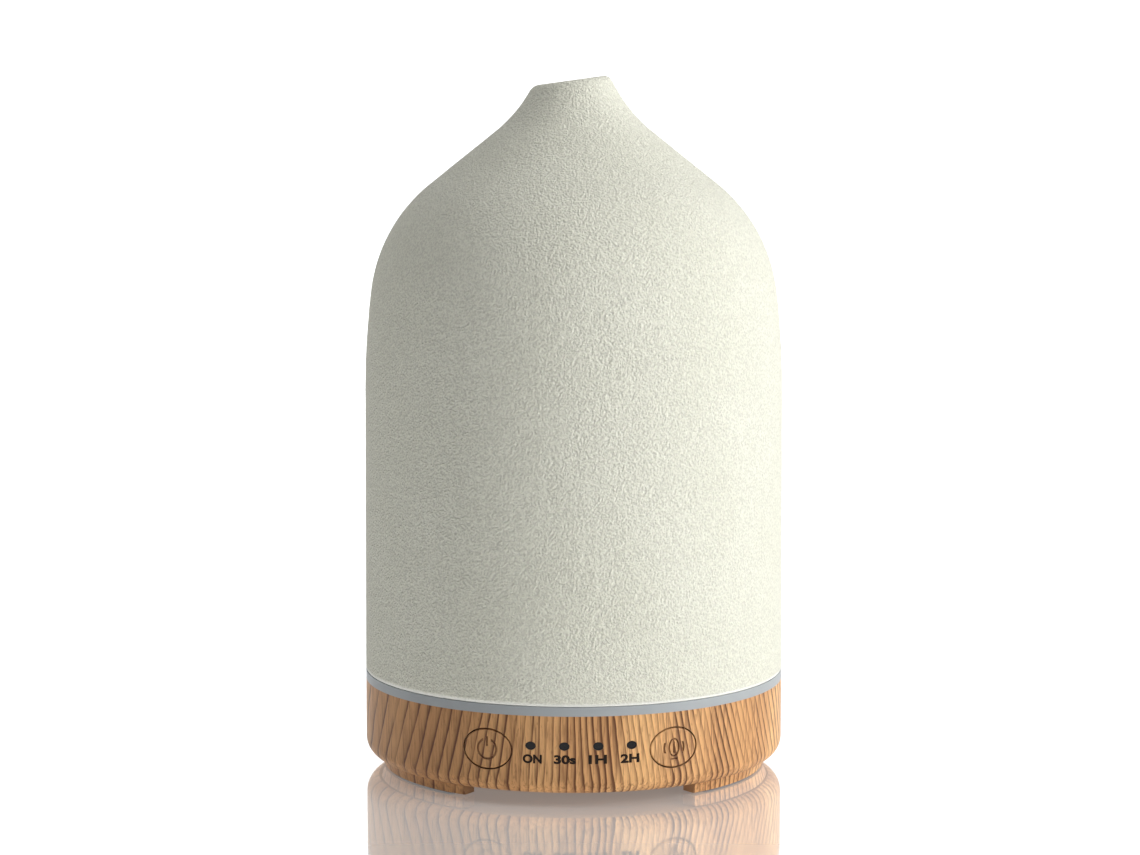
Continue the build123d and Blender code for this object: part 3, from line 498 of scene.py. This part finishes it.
    def material(self) -> bpy.types.Material:
        """Build the material."""
        g = Graph(self.name)
        x, y, z = g.axes()
        turn = Value(g, g.node("ShaderNodeMath", {"operation": "ARCTAN2"}, {0: x, 1: y * -1}).outputs[0])
        fibres = g.streaks(Streak.FIBRE.value, 3.0, 0.65)
        line = self._lines(g, turn, z)
        skin = self._skin(g)
        mould = g.grain(self.mould_mm, 2.0, 0.6)
        printed = g.mix(line, self._ground(g, turn, fibres), self.late)
        colour = g.mix(skin, g.mix(mould * 0.3, self.plain, self.warm), printed)
        relief = ((1 - line) * 0.8 + fibres * 0.3) * skin + mould * 0.1
        return g.surface(
            # Painted shade: the sunk icons' floors are mixed towards the late-wood colour.
            Base_Color=g.mix(self._sunk_shade(x, y, z) * skin * self.sunk_shade_share, colour, self.late),
            Roughness=self.gloss + fibres * 0.16 + (1 - skin) * 0.1,
            Normal=g.bump(relief, self.depth_mm, 0.6),
            Specular_IOR_Level=self.specular,
        )


@dataclass(frozen=True)
class Plastic:
    """Moulded plastic with a fine spark texture and handling marks."""

    name: str
    colour: tuple
    rough: float = 0.45
    texture_mm: float = 0.25
    depth_mm: float = 0.01
    coat: float = 0.0
    specular: float = 0.5
    tone_mm: float = 9.0
    darker: float = 0.95
    worn_mm: float = 2.2
    worn_share: float = 0.14

    def material(self) -> bpy.types.Material:
        """Build the material."""
        g = Graph(self.name)
        tone = g.grain(self.tone_mm).spread(0.35, 0.7)
        spark = g.grain(self.texture_mm, 2.0, 0.6)
        return g.surface(
            Base_Color=g.mix(tone, self.colour, tuple(c * self.darker for c in self.colour)),
            Roughness=self.rough - 0.05 + g.grain(self.worn_mm, 3.0) * self.worn_share,
            Normal=g.bump(spark, self.depth_mm, 0.6),
            Coat_Weight=self.coat,
            Specular_IOR_Level=self.specular,
        )


@dataclass(frozen=True)
class Metal:
    """Bare metal with drawn streaks, a little tarnish and a worn bloom."""

    name: str
    colour: tuple
    rough: float = 0.3
    streak: tuple = (400.0, 400.0, 60.0)
    bloom_mm: float = 3.0
    tarnish: float = 0.6
    depth_mm: float = 0.01

    def material(self) -> bpy.types.Material:
        """Build the material."""
        g = Graph(self.name)
        drawn = g.streaks(self.streak, 3.0, 0.6)
        bloom = g.grain(self.bloom_mm, 3.0)
        dull = tuple(c * self.tarnish for c in self.colour)
        return g.surface(
            Base_Color=g.mix(bloom.spread(0.45, 0.8) * 0.5, self.colour, dull),
            Metallic=1.0,
            Roughness=self.rough + drawn * 0.18 + bloom * 0.08,
            Normal=g.bump(drawn, self.depth_mm, 0.5),
        )


# ---------------------------------------------------------------- meshes


def smooth_by_angle(mesh: bpy.types.Mesh, degrees_limit: float = 35.0) -> None:
    """Shade a mesh smooth, with its sharp edges kept.

    Args:
        mesh: the mesh to shade.
        degrees_limit: edges that turn further stay sharp.
    """
    for polygon in mesh.polygons:
        polygon.use_smooth = True
    shape = bmesh.new()
    shape.from_mesh(mesh)
    for edge in shape.edges:
        edge.smooth = len(edge.link_faces) != 2 or edge.calc_face_angle(0.0) < math.radians(degrees_limit)
    shape.to_mesh(mesh)
    shape.free()


def finished(name: str, shape: bmesh.types.BMesh, material: bpy.types.Material) -> bpy.types.Object:
    """Turn a bmesh into a dressed object in the scene.

    Args:
        name: the piece's name.
        shape: its mesh in metres; it is freed.
        material: its finish.

    Returns:
        The object.
    """
    mesh = bpy.data.meshes.new(name)
    shape.to_mesh(mesh)
    shape.free()
    smooth_by_angle(mesh)
    mesh.materials.append(material)
    piece = bpy.data.objects.new(name, mesh)
    bpy.context.scene.collection.objects.link(piece)
    return piece


class Pen:
    """Draws a profile in a half plane by straight runs and tangent arcs, in millimetres."""

    def __init__(self, radius: float, height: float, heading: float) -> None:
        """Put the pen down.

        Args:
            radius: distance from the body's axis.
            height: height over the table.
            heading: direction in degrees, 90 is up.
        """
        self.points = [Vector((radius, height))]
        self.heading = heading

    def to(self, radius: float, height: float, step: float) -> "Pen":
        """Draw straight to a point, with the heading as it was.

        Args:
            radius: the end's radius.
            height: the end's height.
            step: longest piece of the run.

        Returns:
            The pen.
        """
        start, end = self.points[-1], Vector((radius, height))
        count = max(1, round((end - start).length / step))
        self.points += [start.lerp(end, (i + 1) / count) for i in range(count)]
        return self

    def run(self, length: float, step: float) -> "Pen":
        """Draw straight ahead."""
        a = math.radians(self.heading)
        end = self.points[-1] + Vector((math.cos(a), math.sin(a))) * length
        return self.to(end.x, end.y, step)

    def arc(self, radius: float, turn: float, step: float) -> "Pen":
        """Draw a tangent arc.

        Args:
            radius: the arc's radius.
            turn: degrees turned, left if positive.
            step: longest piece of the arc.

        Returns:
            The pen.
        """
        side = math.copysign(1.0, turn)
        a = math.radians(self.heading)
        centre = self.points[-1] + Vector((-math.sin(a), math.cos(a))) * radius * side
        count = max(2, round(radius * abs(math.radians(turn)) / step))
        for i in range(count):
            b = a + math.radians(turn) * (i + 1) / count
            self.points.append(centre + Vector((math.sin(b), -math.cos(b))) * radius * side)
        self.heading += turn
        return self


def revolved(points: Sequence[Vector], steps: int, closed: bool = True) -> bmesh.types.BMesh:
    """Spin a profile about the body's axis.

    Args:
        points: (radius, height) in millimetres.
        steps: divisions of the turn.
        closed: whether the profile's end joins its start.

    Returns:
        The spun mesh in metres.
    """
    shape = bmesh.new()
    ring = [shape.verts.new((p.x * MM, 0.0, p.y * MM)) for p in points]
    pairs = list(zip(ring, ring[1:])) + ([(ring[-1], ring[0])] if closed else [])
    edges = [shape.edges.new(pair) for pair in pairs]
    bmesh.ops.spin(shape, geom=ring + edges, cent=(0, 0, 0), axis=(0, 0, 1), angle=math.tau,
                   steps=steps, use_merge=True, use_duplicate=False)
    bmesh.ops.remove_doubles(shape, verts=shape.verts, dist=1e-7)
    bmesh.ops.recalc_face_normals(shape, faces=shape.faces)
    return shape


# ---------------------------------------------------------------- sub-assemblies


@dataclass
class StonewareCover:
    """The one-piece cover: wall, shoulder, cone and slanted spout."""

    body_radius: float
    foot_height: float
    top_height: float
    wall: float = 3.5
    draft: float = 0.34
    shoulder: tuple = (199.0, 7.1)
    crown: tuple = (38.1, 44.3)
    hollow: tuple = (34.3, 21.2)
    spout_radius: float = 10.4
    spout_run: float = 2.7
    spout_slant: float = 7.7
    rim_round: float = 2.4
    rim_break: float = 0.8
    foot_round: float = 0.5
    steps: int = 288
    step_mm: float = 1.1
    inner_steps: float = 3.0
    foot_step: float = 0.12
    neck_step: float = 0.4
    rim_step: float = 0.25
    flat_step: float = 0.3
    break_step: float = 0.15
    wave_mm: float = 0.05
    waves: tuple = ((260, 0.6), (620, 0.4))
    calm_foot: float = 2.0
    calm_fade: float = 10.0

    @property
    def cone_heading(self) -> float:
        """Direction of the cone's side, in degrees, 90 is up."""
        return 90 + self.shoulder[1] + self.crown[1]

    @property
    def neck_heading(self) -> float:
        """Direction of the neck's side."""
        return self.cone_heading - self.hollow[1]

    @property
    def lean(self) -> float:
        """How far the neck's side leans in, in radians."""
        return math.radians(self.neck_heading - 90)

    def _side(self, inset: float, wall_height: float, step: float) -> Pen:
        """Draw the cover's line from the foot to the neck.

        Args:
            inset: distance in from the outside.
            wall_height: height of the near-upright wall.
            step: spacing of its points.

        Returns:
            The pen, at the neck's start.
        """
        if inset:
            pen = Pen(self.body_radius - inset, self.foot_height, 90)
        else:
            pen = Pen(self.body_radius - self.foot_round, self.foot_height, 0)
            pen.arc(self.foot_round, 90, self.foot_step)
        pen.to(self.body_radius - self.draft - inset, self.foot_height + wall_height, step)
        pen.arc(self.shoulder[0] - inset, self.shoulder[1], step)
        pen.arc(self.crown[0] - inset, self.crown[1], step).run(self._cone_length(), step)
        return pen.arc(self.hollow[0] + inset, -self.hollow[1], step)

    def _bends(self) -> Vector:
        """Run and rise of the three arcs together."""
        bends = ((90, *self.shoulder), (90 + self.shoulder[1], *self.crown),
                 (self.cone_heading, self.hollow[0], -self.hollow[1]))
        ends = (Pen(0, 0, heading).arc(radius, turn, radius).points[-1] for heading, radius, turn in bends)
        return sum(ends, Vector((0, 0)))

    def _cone_length(self) -> float:
        """Length of the cone's side, as far as the neck's radius."""
        fall = self.body_radius - self.draft + self._bends().x - self.spout_radius
        return fall / -math.cos(math.radians(self.cone_heading))

    def _outline(self, rim_height: float) -> tuple[list[Vector], Vector]:
        """Draw the closed section with a level rim.

        Args:
            rim_height: height of the rim.

        Returns:
            The section's points, and the point where the neck starts.
        """
        rise = (self._bends().y + self._cone_length() * math.sin(math.radians(self.cone_heading))
                + self.spout_run * math.cos(self.lean))
        wall_height = rim_height - self.foot_height - rise
        pen = self._side(0.0, wall_height, self.step_mm)
        neck = pen.points[-1].copy()
        pen.run(self._neck_length(), self.neck_step)
        pen.arc(self.rim_round, 180 - self.neck_heading, self.rim_step)
        pen.run(self._rim_flat(), self.flat_step)
        pen.arc(self.rim_break, self.neck_heading, self.break_step)
        inner = self._side(self.wall, wall_height, self.step_mm * self.inner_steps).points
        return pen.points + inner[::-1], neck

    def _neck_length(self) -> float:
        """Straight part of the neck's outside, below the rim's rounding."""
        return self.spout_run - self.rim_round * math.tan(math.radians(180 - self.neck_heading) / 2)

    def _rim_flat(self) -> float:
        """Width of the rim's flat between its two roundings."""
        rounded = self.rim_round * (1 - math.sin(self.lean)) + self.rim_break * (1 + math.sin(self.lean))
        return (self.wall - rounded) / math.cos(self.lean)

    def build(self, finish: bpy.types.Material) -> bpy.types.Object:
        """Make the cover.

        Args:
            finish: the stoneware.

        Returns:
            The cover, which replaces its plain solid.
        """
        slope = math.tan(math.radians(self.spout_slant))
        rim_radius = self.spout_radius - self.spout_run * math.sin(self.lean)
        rim_height = self.top_height - rim_radius * slope
        points, neck = self._outline(rim_height)
        shape = revolved(points, self.steps)
        self._slant_rim(shape, neck, slope)
        self._hand_thrown(shape)
        bmesh.ops.recalc_face_normals(shape, faces=shape.faces)
        piece = finished("stoneware_cover", shape, finish)
        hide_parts("ceramic_cover")
        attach(piece, "cover")
        return piece

    def _slant_rim(self, shape: bmesh.types.BMesh, neck: Vector, slope: float) -> None:
        """Slide the rim along the neck's side until it slants, with its highest point at the top height.

        Args:
            shape: the cover's mesh, with a level rim.
            neck: where the neck starts on the outside.
            slope: rise of the rim for each step towards +X.
        """
        moves = []
        for vert in shape.verts:
            out = vert.co.xy.length / MM
            along = (vert.co.z / MM - neck.y) * math.cos(self.lean) - (out - neck.x) * math.sin(self.lean)
            share = min(1.0, max(0.0, along / self._neck_length()))
            across = vert.co.x / MM
            lift = across * slope / (1 + slope * math.tan(self.lean) * across / out)
            moves.append((vert, share, lift))
        excess = max(vert.co.z / MM + lift for vert, share, lift in moves if share == 1.0) - self.top_height
        for vert, share, lift in moves:
            step = share * (lift - excess)
            inward = Vector((vert.co.x, vert.co.y, 0)).normalized() * -step * math.tan(self.lean)
            vert.co += (inward + Vector((0, 0, step))) * MM

    def _hand_thrown(self, shape: bmesh.types.BMesh) -> None:
        """Give the fired skin its slight unevenness, fading to none at the foot.

        Args:
            shape: the cover's mesh.
        """
        limit = self.body_radius * MM
        for vert in shape.verts:
            fade = (vert.co.z / MM - self.foot_height - self.calm_foot) / self.calm_fade
            lumps = sum(noise.noise(vert.co * scale) * share for scale, share in self.waves)
            depth = lumps * self.wave_mm * min(1.0, max(0.0, fade)) * MM
            push = Vector((vert.co.x, vert.co.y, 0)).normalized() * depth
            moved = vert.co + push
            if moved.xy.length < limit:
                vert.co = moved


class Label(Enum):
    """The lamps' printed captions, left to right."""

    STEADY = "ON"
    PULSE = "30s"
    HOUR = "1H"
    HOURS = "2H"


@dataclass
class Captions:
    """Printed captions under the indicator windows."""

    radius: float
    height: float = 11.25
    cap_height: float = 2.07
    spacing: float = 8.5
    ink_mm: float = 0.012
    boldness: float = 0.045
    cut_mm: float = 0.4
    cuts: int = 8
    widths: dict = field(default_factory=lambda: {Label.STEADY: 4.4, Label.PULSE: 5.0, Label.HOUR: 4.2,
                                                  Label.HOURS: 4.4})

    def build(self, finish: bpy.types.Material) -> list[bpy.types.Object]:
        """Print every caption.

        Args:
            finish: the ink.

        Returns:
            One piece for each caption.
        """
        return [self._print(label, (i - 1.5) * self.spacing, finish) for i, label in enumerate(Label)]

    def _letters(self, label: Label) -> bmesh.types.BMesh:
        """Write a caption flat, centred, at its size in millimetres.

        Args:
            label: which caption.

        Returns:
            Its flat mesh.
        """
        curve = bpy.data.curves.new(f"caption_{label.value}", "FONT")
        curve.body = label.value
        curve.align_x = "CENTER"
        curve.offset = self.boldness
        writer = bpy.data.objects.new(f"caption_{label.value}", curve)
        bpy.context.scene.collection.objects.link(writer)
        bpy.context.view_layer.update()
        flat = bpy.data.meshes.new_from_object(writer)
        bpy.data.objects.remove(writer)
        shape = bmesh.new()
        shape.from_mesh(flat)
        xs = [v.co.x for v in shape.verts]
        ys = [v.co.y for v in shape.verts]
        scale = Vector((self.widths[label] / (max(xs) - min(xs)), self.cap_height / (max(ys) - min(ys)), 1))
        middle = Vector(((max(xs) + min(xs)) / 2, (max(ys) + min(ys)) / 2, 0))
        bmesh.ops.translate(shape, verts=shape.verts, vec=-middle)
        bmesh.ops.scale(shape, verts=shape.verts, vec=scale)
        return shape

    def _print(self, label: Label, angle: float, finish: bpy.types.Material) -> bpy.types.Object:
        """Print one caption on the round wall.

        Args:
            label: which caption.
            angle: its middle, in degrees from the front.
            finish: the ink.

        Returns:
            The printed piece.
        """
        shape = self._letters(label)
        for i in range(-self.cuts, self.cuts + 1):
            bmesh.ops.bisect_plane(shape, geom=shape.verts[:] + shape.edges[:] + shape.faces[:], dist=1e-5,
                                   plane_co=(i * self.cut_mm, 0, 0), plane_no=(1, 0, 0))
        rise = bmesh.ops.extrude_face_region(shape, geom=shape.faces[:])
        lifted = [g for g in rise["geom"] if isinstance(g, bmesh.types.BMVert)]
        bmesh.ops.translate(shape, verts=lifted, vec=(0, 0, self.ink_mm * 2))
        for vert in shape.verts:
            out = self.radius - self.ink_mm + vert.co.z
            a = math.radians(angle) + vert.co.x / self.radius
            vert.co = Vector((out * math.sin(a), -out * math.cos(a), self.height + vert.co.y)) * MM
        bmesh.ops.recalc_face_normals(shape, faces=shape.faces)
        piece = finished(f"caption_{label.value}", shape, finish)
        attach(piece, "root")
        return piece


@dataclass
class Studio:
    """Floor, wall, lights and camera."""

    camera_distance: float = 700.0
    camera_height: float = 159.9
    camera_side: float = -0.9
    azimuth: float = -1.9
    pitch: float = 6.44
    lens: float = 92.94
    floor_radius: float = 1.8
    wall_height: float = 2.6
    bend: float = 0.5
    floor_mirror: float = 0.65
    floor_glow: float = 0.15
    wall_glow: float = 1.45
    surround: float = 0.02

    def build(self) -> None:
        """Set the studio up."""
        self._floor()
        self._wall()
        self._lights()
        self._camera()
        bpy.context.scene.view_settings.view_transform = "Standard"

    def _floor(self) -> None:
        """A pale, polished table top, so large that it fills every view's lower half."""
        g = Graph("polished_floor")
        finish = g.surface(
            Base_Color=(0.9, 0.9, 0.9),
            Roughness=0.04 + g.grain(60.0) * 0.03,
            Metallic=self.floor_mirror,
            Emission_Color=(1.0, 1.0, 1.0),
            Emission_Strength=self.floor_glow,
        )
        shape = bmesh.new()
        bmesh.ops.create_circle(shape, cap_ends=True, segments=96, radius=self.floor_radius)
        finished("polished_floor", shape, finish)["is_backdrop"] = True

    def _wall(self) -> None:
        """A glowing white wall all round, which shows and is mirrored but casts no light itself."""
        g = Graph("white_wall")
        glow = self.wall_glow + g.grain(400.0) * 0.06
        colour = g.node("ShaderNodeCombineColor", {}, {0: glow, 1: glow, 2: glow}).outputs[0]
        finish = g.surface(
            Base_Color=(0.0, 0.0, 0.0),
            Roughness=1.0,
            Emission_Color=colour,
            Emission_Strength=1.0,
        )
        foot = Pen(self.floor_radius / MM, 0.0, 0.0).arc(self.bend / MM, 90, 80.0)
        points = foot.to((self.floor_radius + self.bend) / MM, self.wall_height / MM, 300.0).points
        wall = finished("white_wall", revolved(points, 96, closed=False), finish)
        wall.visible_diffuse = False
        wall.visible_shadow = False
        wall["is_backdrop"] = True

    def _lights(self) -> None:
        """A broad key from the right, a soft top, a weak edge light at the left and a dim surround."""
        self._area("key", (0.75, -0.35, 0.42), (0, 0, 0.085), (0.5, 0.6), 7.0)
        self._area("top", (0.0, -0.1, 1.1), (0, 0, 0), (0.7, 0.7), 4.6)
        self._area("edge_left", (-0.75, 0.3, 0.25), (0, 0, 0.08), (0.3, 0.6), 0.4)
        world = bpy.data.worlds.new("surround")
        bpy.context.scene.world = world
        world.use_nodes = True
        sky = world.node_tree.nodes["Background"]
        sky.inputs["Color"].default_value = (1, 1, 1, 1)
        sky.inputs["Strength"].default_value = self.surround

    @staticmethod
    def _area(name: str, at: Sequence[float], to: Sequence[float], size: Sequence[float],
              watts: float) -> None:
        """Hang one soft box.

        Args:
            name: its name.
            at: where it hangs.
            to: where it points.
            size: width and height.
            watts: its power.
        """
        lamp = bpy.data.lights.new(name, "AREA")
        lamp.shape = "RECTANGLE"
        lamp.size, lamp.size_y = size
        lamp.energy = watts
        holder = bpy.data.objects.new(name, lamp)
        bpy.context.scene.collection.objects.link(holder)
        holder.location = at
        holder.rotation_euler = (Vector(to) - Vector(at)).to_track_quat("-Z", "Y").to_euler()

    def _camera(self) -> None:
        """Stand the camera where the product is seen from a little above its spout."""
        data = bpy.data.cameras.new("camera")
        data.sensor_width = 36.0
        data.lens = self.lens
        data.clip_start, data.clip_end = 0.05, 20
        camera = bpy.data.objects.new("camera", data)
        bpy.context.scene.collection.objects.link(camera)
        a = math.radians(self.azimuth)
        right = Vector((math.cos(a), math.sin(a), 0))
        back = Vector((math.sin(a), -math.cos(a), 0))
        camera.location = (back * self.camera_distance + right * self.camera_side) * MM
        camera.location.z = self.camera_height * MM
        camera.rotation_euler = (math.radians(90 - self.pitch), 0, a)
        bpy.context.scene.camera = camera


@dataclass
class Wardrobe:
    """The finishes of the solids that are shown as they come."""

    frame: dict
    wood: bpy.types.Material

    def dress(self) -> None:
        """Give every carried-over node its finish."""
        slots = {part["node"]: part["material_slot"] for part in self.frame["record"]["subparts"]}
        made = {finish.name: finish.material() for finish in self._finishes()}
        made["wood_print"] = self.wood
        for name, node in self.frame["nodes"].items():
            node.data.materials.clear()
            node.data.materials.append(made.get(slots[name], made["white_plastic"]))

    @staticmethod
    def _finishes() -> list[Plastic | Metal]:
        """The plain finishes, one for each slot of the record."""
        return [
            Plastic("ring_plastic", (0.34, 0.362, 0.375), 0.42, 0.4, 0.006, specular=0.3),
            Plastic("pad_rubber", (0.03, 0.03, 0.03), 0.75, 0.3, 0.02),
            Plastic("tank_plastic", (0.80, 0.81, 0.80), 0.32, 0.5, 0.006),
            Plastic("lid_plastic", (0.74, 0.76, 0.76), 0.25, 0.5, 0.004),
            Plastic("window_plastic", (0.006, 0.005, 0.005), 0.2, 0.5, 0.002, specular=0.2),
            Plastic("black_plastic", (0.018, 0.018, 0.018), 0.5),
            Plastic("white_plastic", (0.72, 0.71, 0.67), 0.42),
            Plastic("circuit_board", (0.012, 0.11, 0.035), 0.3, 0.6, 0.004, coat=0.3),
            Plastic("ferrite", (0.02, 0.02, 0.022), 0.7, 0.2, 0.02),
            Plastic("silicone", (0.70, 0.69, 0.66), 0.6, 0.6, 0.01),
            Plastic("filter_foam", (0.02, 0.02, 0.02), 0.9, 0.5, 0.1),
            Plastic("lamp", (0.85, 0.85, 0.72), 0.2, 0.5, 0.002, coat=0.3),
            Plastic("yellow_film", (0.70, 0.42, 0.03), 0.3, 0.8, 0.01),
            Plastic("lead_red", (0.45, 0.02, 0.015), 0.45, 0.4, 0.006),
            Metal("steel", (0.56, 0.56, 0.55), 0.32),
            Metal("copper", (0.70, 0.36, 0.20), 0.3),
            Metal("tin", (0.66, 0.66, 0.66), 0.28),
            Metal("alu", (0.62, 0.63, 0.64), 0.36),
            Metal("piezo", (0.78, 0.70, 0.50), 0.34),
        ]


def main(frame: dict) -> None:
    """Build the diffuser round its frame.
    """
    logging.basicConfig(level=logging.INFO, format="%(message)s")
    packed = [list(corner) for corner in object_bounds()]
    wood = WoodPrint().material()
    Wardrobe(frame, wood).dress()
    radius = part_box("base_housing")[1].x / MM
    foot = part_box("ceramic_cover")[0].z / MM
    cover = StonewareCover(radius, foot, packed[1][2] / MM).build(Stoneware(foot).material())
    LOG.info("cover: %d faces", len(cover.data.polygons))
    ink = Plastic("caption_ink", (0.014, 0.008, 0.005), 0.6, 0.1, 0.004, specular=0.1)
    for piece in Captions(radius).build(ink.material()):
        LOG.info("caption: %s", piece.name)
    Studio().build()


if __name__ == "__main__":
    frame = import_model()
    main(frame)
